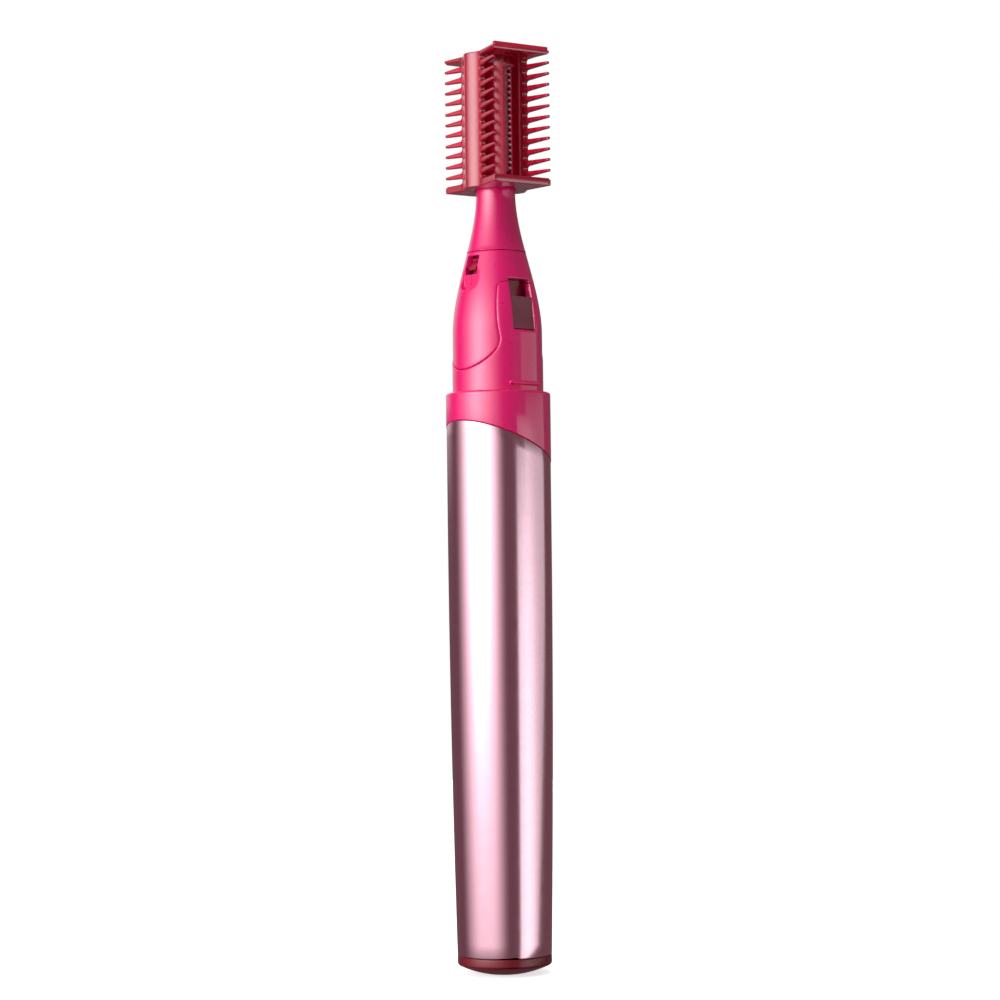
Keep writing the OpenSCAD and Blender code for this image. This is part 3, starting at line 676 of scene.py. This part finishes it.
def rib(side):
    """A low rib on the housing's side, which holds a push-on cap."""
    half_w, z, root, crest, foot = 3.0, 89.1, 6.7, 7.25, 0.35
    span = math.asin(half_w / crest)
    rows = []
    for t in steps(-1, 1, 48):
        high = min(1, (1 - abs(t)) / 0.06) ** 0.5
        out = root + (crest - root) * (0.55 + 0.45 * high)
        a = t * span
        shape = [(root, -foot), (out - 0.22, -foot), (out - 0.05, -0.16), (out, -0.06), (out, 0.06),
                 (out - 0.05, 0.16), (out - 0.22, foot), (root, foot)]
        rows.append([(side * r * math.cos(a), r * math.sin(a), z + h) for r, h in shape])
    m = len(rows[0])
    faces = [(i * m + k, (i + 1) * m + k, (i + 1) * m + (k + 1) % m, i * m + (k + 1) % m)
             for i in range(len(rows) - 1) for k in range(m)]
    faces += [tuple(range(m)), tuple(range((len(rows) - 1) * m, len(rows) * m))]
    return [v for row in rows for v in row], faces


def fade_z(x):
    """Height where a pocket's floor comes out through the neck's tapering surface."""
    want, lo, hi = math.hypot(POCKET_Y, x), TAPER_Z0, TAPER_Z1
    for _ in range(40):
        mid = (lo + hi) / 2
        lo, hi = (mid, hi) if neck_at(mid) > want else (lo, mid)
    return lo


def pocket_corner(grow):
    """The rounded lower right corner of a pocket grown by a little."""
    x, z, r = POCKET_W / 2 - POCKET_R, POCKET_Z0 + POCKET_R, POCKET_R + grow
    return [(x + r * math.cos(a), z - r * math.sin(a)) for a in steps(0, math.pi / 2, 12)]


def latch_outline():
    """The pocket and latch window as one hole on the sheet, clockwise, with its edge radii."""
    w, p = LATCH_W / 2, POCKET_W / 2
    top = soften([(0, LATCH_Z1), (w, LATCH_Z1), (w, LATCH_Z1 - 0.6)], [0, 0.3, 0], 5, closed=False)
    right = [(pt, 0.1) for pt in top]
    for z in steps(LATCH_Z1 - 0.6, fade_z(w), 4)[1:]:
        right.append(((w, z), 0.1 if z > fade_z(w) + 0.25 else 0.04))
    right += [((x, fade_z(x)), 0.02) for x in steps(w, p, 3)[1:]]
    for z in steps(fade_z(p), POCKET_Z0 + POCKET_R, 12)[1:]:
        right.append(((p, z), min(0.2, 0.02 + 0.16 * (fade_z(p) - z))))
    right += [(pt, 0.2) for pt in pocket_corner(0)[1:]]
    right += [((x, POCKET_Z0), 0.2) for x in steps(p - POCKET_R, 0, 4)[1:]]
    whole = right + [((-x, z), r) for (x, z), r in reversed(right)][1:-1]
    return [on_sheet(x, z, 0) for (x, z), _ in whole], [r for _, r in whole]


def pocket_floors():
    """The flat floors of the two pockets, each with the latch window's notch and a small lead-in rib."""
    w, p, grow, bar_z = LATCH_W / 2, POCKET_W / 2, 0.03, POCKET_Z0 + 0.8
    right = [(w, LATCH_Z0), (w, fade_z(w) - 0.02)] + [(x, fade_z(x)) for x in steps(w, p, 3)[1:]]
    right[-1] = (p + grow, right[-1][1])
    right += pocket_corner(grow)
    outline = right + [(-x, z) for x, z in reversed(right)]
    floors = []
    for s in (-1, 1):
        floors.append(prism(outline, POCKET_Y, BOSS_Y + 0.05, lambda u, v, d, s=s: (u, s * d, v), 0.0))
        bar = [(-0.1, bar_z), (0.1, bar_z), (0.1, LATCH_Z0 - 0.02), (-0.1, LATCH_Z0 - 0.02)]
        floors.append(prism(bar, POCKET_Y + 0.12, POCKET_Y - 0.2, lambda u, v, d, s=s: (u, s * d, v), 0.04))
    return floors


def build_cone():
    """The head cone: a spigot in the cover, a thin lip over the ring-shaped seam, and a bore for the rod."""
    lip, spigot_r, bore_r, rod_bore_r, spigot_z, top_z = 0.06, 3.5, 2.85, 0.95, 108.8, 121.3
    rim_r = float(neck_at(CONE_Z0)) + lip
    line = [((bore_r, spigot_z), 0), ((spigot_r, spigot_z), 0), ((spigot_r, CONE_Z0), 0),
            ((rim_r, CONE_Z0), 0.09)]
    for z in steps(CONE_Z0 + 0.3, TAPER_Z1, 48):
        fade = max(0, 1 - (z - CONE_Z0) / 0.5)
        line.append(((float(neck_at(z)) + lip * fade, z), 0))
    line += [((NECK_R1 - 0.03, top_z - 0.6), 0), ((NECK_R1 - 0.03, top_z), 0.3), ((rod_bore_r, top_z), 0.05),
             ((rod_bore_r, 117.4), 0), ((2.1, 116.6), 0), ((bore_r, 112), 0)]
    profile = soften([p for p, _ in line], [c for _, c in line], 5)
    make("cone", lathe(lambda a: profile), "head_cone", "pink_plastic", sharp=50)


def build_knob():
    """The slide switch's knob: a slightly hollowed face, sloped like the neck, on a foot."""
    half_w, back, foot_z, foot_w = WINDOW_W / 2 - 0.1, 4.5, 95.6, 2.5
    face = []
    for t in steps(0, 1, 14):
        z = KNOB_Z0 + 0.12 + (KNOB_Z1 - KNOB_Z0 - 0.24) * t
        face.append((6.5 - 0.5 * t - 0.12 * math.sin(math.pi * t), z))
    outline = [(back, KNOB_Z0), (6.36, KNOB_Z0), *face, (5.86, KNOB_Z1), (back, KNOB_Z1)]
    body = prism(outline, -half_w, half_w, lambda u, v, w: (u, w, v), 0.09)
    foot = [(back, foot_z), (back + 0.4, foot_z), (back + 0.4, KNOB_Z0 + 0.3), (back, KNOB_Z0 + 0.3)]
    tail = prism(foot, -foot_w, foot_w, lambda u, v, w: (u, w, v), 0.06)
    make("switch_button", joined(body, tail), "switch_knob", "knob_plastic")


# --------------------------------------------------------------------- comb


def comb_y(x):
    """Half breadth of the comb's outer face: a bulge over the blade, then flared rows of teeth."""
    a = np.abs(x)
    bulge = COMB_SIDE_Y + COMB_BULGE * np.cos(np.clip(a / COMB_ROOT, 0, 1) * math.pi / 2) ** 2
    flare = COMB_SIDE_Y + (a - COMB_ROOT) * np.where(x > 0, 0.16, 0.18)
    return np.where(a < COMB_ROOT, bulge, flare)


def comb_wall(x):
    a = np.abs(x)
    return np.where(a <= COMB_ROOT, COMB_WALL, COMB_WALL - 0.45 * (a - COMB_ROOT) / 5.1)


def comb_outline():
    """A wall of the comb with both its rows of teeth, anticlockwise in x and z."""
    low, high = COMB_Z0 + PLATE_T, COMB_Z1 - PLATE_T
    pitch = (high - low) / (COMB_GAPS - 0.5)
    root_r, tip_half, soft = 0.43, 0.62, 0.17

    def row(tip):
        s = 1 if tip > 0 else -1
        line = [((tip, COMB_Z0), 0.2)]
        for i in range(COMB_GAPS):
            z = low + (i + 0.25) * pitch
            line.append(((tip, z - tip_half), soft))
            for a in steps(-math.pi / 2, math.pi / 2, 8):
                line.append(((s * 3.2 - s * root_r * math.cos(a), z + root_r * math.sin(a)), 0))
            line.append(((tip, z + tip_half), soft))
        return line + [((tip, COMB_Z1 - LIP_H), 0.2)]

    line = row(LONG_TIP) + row(-SHORT_TIP)[::-1]
    return dense(soften([p for p, _ in line], [c for _, c in line], 4), 0.28, closed=True)


def build_comb():
    low, high = COMB_Z0 + PLATE_T, COMB_Z1 - PLATE_T
    outline = comb_outline()

    def outer(q, depth):
        x = q[:, 0]
        slope = (comb_y(x + 0.01) - comb_y(x - 0.01)) / 0.02
        n = 1 / np.sqrt(1 + slope * slope)
        return np.c_[x + depth * slope * n, -comb_y(x) + depth * n, q[:, 1]]

    def inner(q, depth):
        x, z = q[:, 0], q[:, 1]
        clear = np.clip((np.minimum(z - low, high - z) + 0.1) / 0.3, 0, 1)
        return np.c_[x, -(comb_y(x) - comb_wall(x)) - depth * clear, z]

    wall = shell([(outline, [0.14] * len(outline), True)], 0.35, outer, inner, rings=(0, 0.15, 0.5, 1))
    flipped_wall = [(x, -y, z) for x, y, z in wall[0]], [f[::-1] for f in wall[1]]
    parts = [wall, flipped_wall]

    inset = 0.28
    xs = [-SHORT_TIP + 0.02] + steps(-COMB_ROOT, COMB_ROOT, 24) + [LONG_TIP - 0.02]
    near = [(x, float(comb_y(x)) - inset) for x in xs]
    plan = [(x, -y) for x, y in near] + near[::-1]
    parts.append(prism(plan, high, COMB_Z1 - LIP_H - 0.008, lambda u, v, w: (u, v, w), 0.1, 40))
    ends = [(x, float(comb_y(x)) - inset) for x in (LONG_TIP - LIP_T, LONG_TIP - 0.02)]
    lip = [(x, -y) for x, y in ends] + ends[::-1]
    parts.append(prism(lip, high + 0.3, COMB_Z1 - 0.008, lambda u, v, w: (u, v, w), 0.12, 40))
    parts.append(bottom_plate(plan, COMB_Z0 + 0.008, low))
    for s in (-1, 1):
        post = [(-0.5, 2.1 * s), (0.5, 2.1 * s), (0.5, 4.1 * s), (-0.5, 4.1 * s)]
        parts.append(prism(post, low - 0.5, high + 0.5, lambda u, v, w: (u, v, w), 0.0))
    make("comb", turned(union(parts), COMB_TURN), "guide_comb", "comb_plastic", sharp=40, merge=1e-7)


def bottom_plate(plan, lo, hi):
    """The comb's lower plate, with the hole that slips over the cone and the slot for the blades."""
    r, slot, slot_x0, slot_x1 = NECK_R1 + 0.3, 1.1, -3.9, 4.5
    near_a = math.asin(slot / r)
    hole = [(slot_x0, -slot), (slot_x0, slot)]
    hole += [(r * math.cos(a), r * math.sin(a)) for a in steps(math.pi - near_a, near_a, 30)]
    hole += [(slot_x1, slot), (slot_x1, -slot)]
    hole += [(r * math.cos(a), r * math.sin(a)) for a in steps(-near_a, near_a - math.pi, 30)]
    hole = dense(hole, 0.3, closed=True)
    rim = dense(plan, 0.3, closed=True)

    def flat(z, way):
        return lambda q, depth: np.c_[q[:, 0], q[:, 1], np.full(len(q), z) + way * depth]

    return shell([(rim, [0.1] * len(rim), True), (hole, [0.1] * len(hole), True)], 0.6, flat(lo, 1),
                 flat(hi, -1), rings=(0, 0.3, 1))


# -------------------------------------------------------------------- scene


def dress_nodes():
    """Gives the CAD nodes that stay in view their finishes."""
    for name, node in frame["nodes"].items():
        node.data.materials.clear()
        node.data.materials.append(MATERIALS[FINISH_OF.get(name, SLOT_OF[name])])


VIEW_AZ = math.radians(51)  # the photograph's angle about the object
RIGHT = Vector((math.cos(VIEW_AZ), math.sin(VIEW_AZ), 0))
BACK = Vector((math.sin(VIEW_AZ), -math.cos(VIEW_AZ), 0))
LAMP_AIM = Vector((0, 0, 0.07))
FILL = 0.42  # even light that matt surfaces get from all round


def around(azimuth, distance, height):
    """A point at an angle to the right of the camera's side of the object, in degrees, in metres."""
    a = math.radians(azimuth)
    return (BACK * math.cos(a) + RIGHT * math.sin(a)) * distance + Vector((0, 0, height))


def panel(name, azimuth, distance, height, size, power):
    """A soft lamp that lights matt surfaces only, since build_world paints what the glossy ones mirror."""
    data = bpy.data.lights.new(name, "AREA")
    data.shape, data.size, data.size_y = "RECTANGLE", *size
    data.energy = power
    lamp = bpy.data.objects.new(name, data)
    bpy.context.scene.collection.objects.link(lamp)
    lamp.location = around(azimuth, distance, height)
    lamp.rotation_euler = (LAMP_AIM - lamp.location).to_track_quat("-Z", "Y").to_euler()
    lamp.visible_camera = lamp.visible_glossy = False


def build_floor():
    """A pale sweep that glows a little, so that it runs into the backdrop without a horizon."""
    s = Shader("floor_paper", Specular_IOR_Level=0.1)
    s.colour(s.noise(40, 3), (0.78, 0.78, 0.78), (0.80, 0.80, 0.80))
    s.roughness(s.noise(10, 3), 0.7, 0.8)
    s.bsdf.inputs["Emission Color"].default_value = (1, 1, 1, 1)
    s.bsdf.inputs["Emission Strength"].default_value = 0.68
    mesh = bpy.data.meshes.new("floor")
    size, z = 8, -0.00002
    mesh.from_pydata([(-size, -size, z), (size, -size, z), (size, size, z), (-size, size, z)], [],
                     [(0, 1, 2, 3)])
    mesh.materials.append(s.material)
    floor = bpy.data.objects.new("floor", mesh)
    bpy.context.scene.collection.objects.link(floor)
    floor.visible_glossy = floor.visible_diffuse = False


class Sky:
    """The world's nodes, as arithmetic on the direction that a ray leaves in."""

    def __init__(self, world):
        self.tree = world.node_tree
        self.tree.nodes.clear()
        self.way = self.tree.nodes.new("ShaderNodeTexCoord").outputs["Generated"]
        side, back, up = (self.along(v) for v in (RIGHT, BACK, Vector((0, 0, 1))))
        self.azimuth = self.calc("ARCTAN2", side, back)
        self.height = self.calc("ARCSINE", up)

    def feed(self, socket, value):
        if isinstance(value, (int, float)):
            socket.default_value = value
        else:
            self.tree.links.new(value, socket)

    def calc(self, operation, a, b=0.0):
        n = self.tree.nodes.new("ShaderNodeMath")
        n.operation = operation
        self.feed(n.inputs[0], a)
        self.feed(n.inputs[1], b)
        return n.outputs[0]

    def product(self, *values):
        total = values[0]
        for value in values[1:]:
            total = self.calc("MULTIPLY", total, value)
        return total

    def along(self, axis):
        n = self.tree.nodes.new("ShaderNodeVectorMath")
        n.operation = "DOT_PRODUCT"
        self.tree.links.new(self.way, n.inputs[0])
        n.inputs[1].default_value = axis
        return n.outputs["Value"]

    def rise(self, value, lo, hi):
        """0 below lo and 1 above hi, in degrees, with a smooth step between."""
        n = self.tree.nodes.new("ShaderNodeMapRange")
        n.interpolation_type = "SMOOTHSTEP"
        n.inputs["From Min"].default_value = math.radians(lo)
        n.inputs["From Max"].default_value = math.radians(hi)
        self.tree.links.new(value, n.inputs["Value"])
        return n.outputs["Result"]

    def window(self, value, lo, hi, soft_lo, soft_hi):
        """1 between lo and hi, in degrees, with soft edges."""
        up = self.rise(value, lo - soft_lo, lo + soft_lo)
        down = self.rise(value, hi - soft_hi, hi + soft_hi)
        return self.calc("SUBTRACT", up, down)

    def lobe(self, value, centre, width):
        """A bell curve around centre, in degrees."""
        away = self.calc("DIVIDE", self.calc("SUBTRACT", value, math.radians(centre)), math.radians(width))
        return self.calc("EXPONENT", self.product(away, away, -0.5))

    def background(self, strength, colour=(1, 1, 1)):
        n = self.tree.nodes.new("ShaderNodeBackground")
        n.inputs["Color"].default_value = (*colour, 1)
        self.feed(n.inputs["Strength"], strength)
        return n.outputs[0]

    def mixed(self, a, b, factor=None):
        n = self.tree.nodes.new("ShaderNodeMixShader" if factor else "ShaderNodeAddShader")
        if factor:
            self.tree.links.new(factor, n.inputs[0])
        self.tree.links.new(a, n.inputs[-2])
        self.tree.links.new(b, n.inputs[-1])
        return n.outputs[0]


def key_window(sky):
    """A broad soft window to the left of the camera, with a brighter core where the neck mirrors it."""
    broad = sky.product(sky.window(sky.azimuth, -84, -8, 30, 22), sky.lobe(sky.height, 12, 17), 2.1)
    core = sky.product(sky.lobe(sky.azimuth, -48, 15), sky.window(sky.height, -1, 26, 5, 16), 2.8)
    return sky.calc("ADD", broad, core)


def low_strip(sky):
    """A strip to the right of the camera that the barrel and the neck's side mirror.

    Its near edge steps further round above the barrel's height, its far edge leans in below the horizon,
    and it is brightest near its near edge.
    """
    stepped = sky.product(sky.rise(sky.height, 3.4, 4.6), 0.4)
    near = sky.rise(sky.calc("SUBTRACT", sky.azimuth, stepped), 37.5, 40.5)
    leaning = sky.product(sky.calc("MINIMUM", sky.height, 0), 3)
    far = sky.rise(sky.calc("SUBTRACT", sky.azimuth, leaning), 115, 119)
    low = sky.calc("SUBTRACT", 1, sky.rise(sky.height, 0, 5))
    bright = sky.product(sky.lobe(sky.azimuth, 60, 17), low, 0.95)
    across = sky.calc("SUBTRACT", near, far)
    return sky.product(across, sky.calc("ADD", bright, 0.6), sky.window(sky.height, -58, 9, 5, 6))


def rear_wall(sky):
    """A pale wall far round to the left, seen in the neck's left edge."""
    behind = sky.calc("SUBTRACT", 1, sky.rise(sky.azimuth, -150, -115))
    return sky.product(behind, sky.rise(sky.height, 2, 6), 0.5)


def build_world():
    """What a ray that leaves the object meets.

    The eye and clear plastic see white, and matt surfaces get an even fill. Glossy surfaces mirror a dim
    rosy room with the lights above in it.
    """
    world = bpy.data.worlds.new("studio")
    bpy.context.scene.world = world
    world.use_nodes = True
    sky = Sky(world)
    white_light = sky.calc("ADD", key_window(sky), rear_wall(sky))
    room = sky.mixed(sky.background(1.0, (0.15, 0.085, 0.10)), sky.background(white_light))
    room = sky.mixed(room, sky.background(low_strip(sky), (0.9, 1.08, 1.04)))
    path = sky.tree.nodes.new("ShaderNodeLightPath")
    shader = sky.mixed(sky.background(FILL), room, path.outputs["Is Glossy Ray"])
    for ray in ("Is Transmission Ray", "Is Camera Ray"):
        shader = sky.mixed(shader, sky.background(1.0), path.outputs[ray])
    out = sky.tree.nodes.new("ShaderNodeOutputWorld")
    sky.tree.links.new(shader, out.inputs["Surface"])


def build_lights():
    panel("key", -61, 0.45, 0.07, (0.30, 0.46), 2.9)
    panel("top", 0, 0.1, 0.5, (0.3, 0.3), 0.75)
    panel("back", 170, 0.45, 0.1, (0.3, 0.4), 0.75)


def build_camera():
    """Level with the barrel's upper half, tipped up a little, and rolled by less than a degree."""
    distance, aside, height, aim_z, roll_degrees = 0.398, RIGHT * 0.0001, 0.0541, 0.0717, -0.7
    data = bpy.data.cameras.new("camera")
    data.lens, data.sensor_width = 93.8, 36
    data.clip_start, data.clip_end = 0.01, 50
    cam = bpy.data.objects.new("camera", data)
    bpy.context.scene.collection.objects.link(cam)
    bpy.context.scene.camera = cam
    cam.location = BACK * distance + aside + Vector((0, 0, height))
    way = aside + Vector((0, 0, aim_z)) - cam.location
    roll = Matrix.Rotation(math.radians(roll_degrees), 4, "Z")
    cam.rotation_euler = (way.to_track_quat("-Z", "Y").to_matrix().to_4x4() @ roll).to_euler()


dress_nodes()
build_barrel()
build_cap()
build_collar()
build_neck()
build_cone()
build_knob()
build_comb()
build_floor()
build_world()
build_lights()
build_camera()
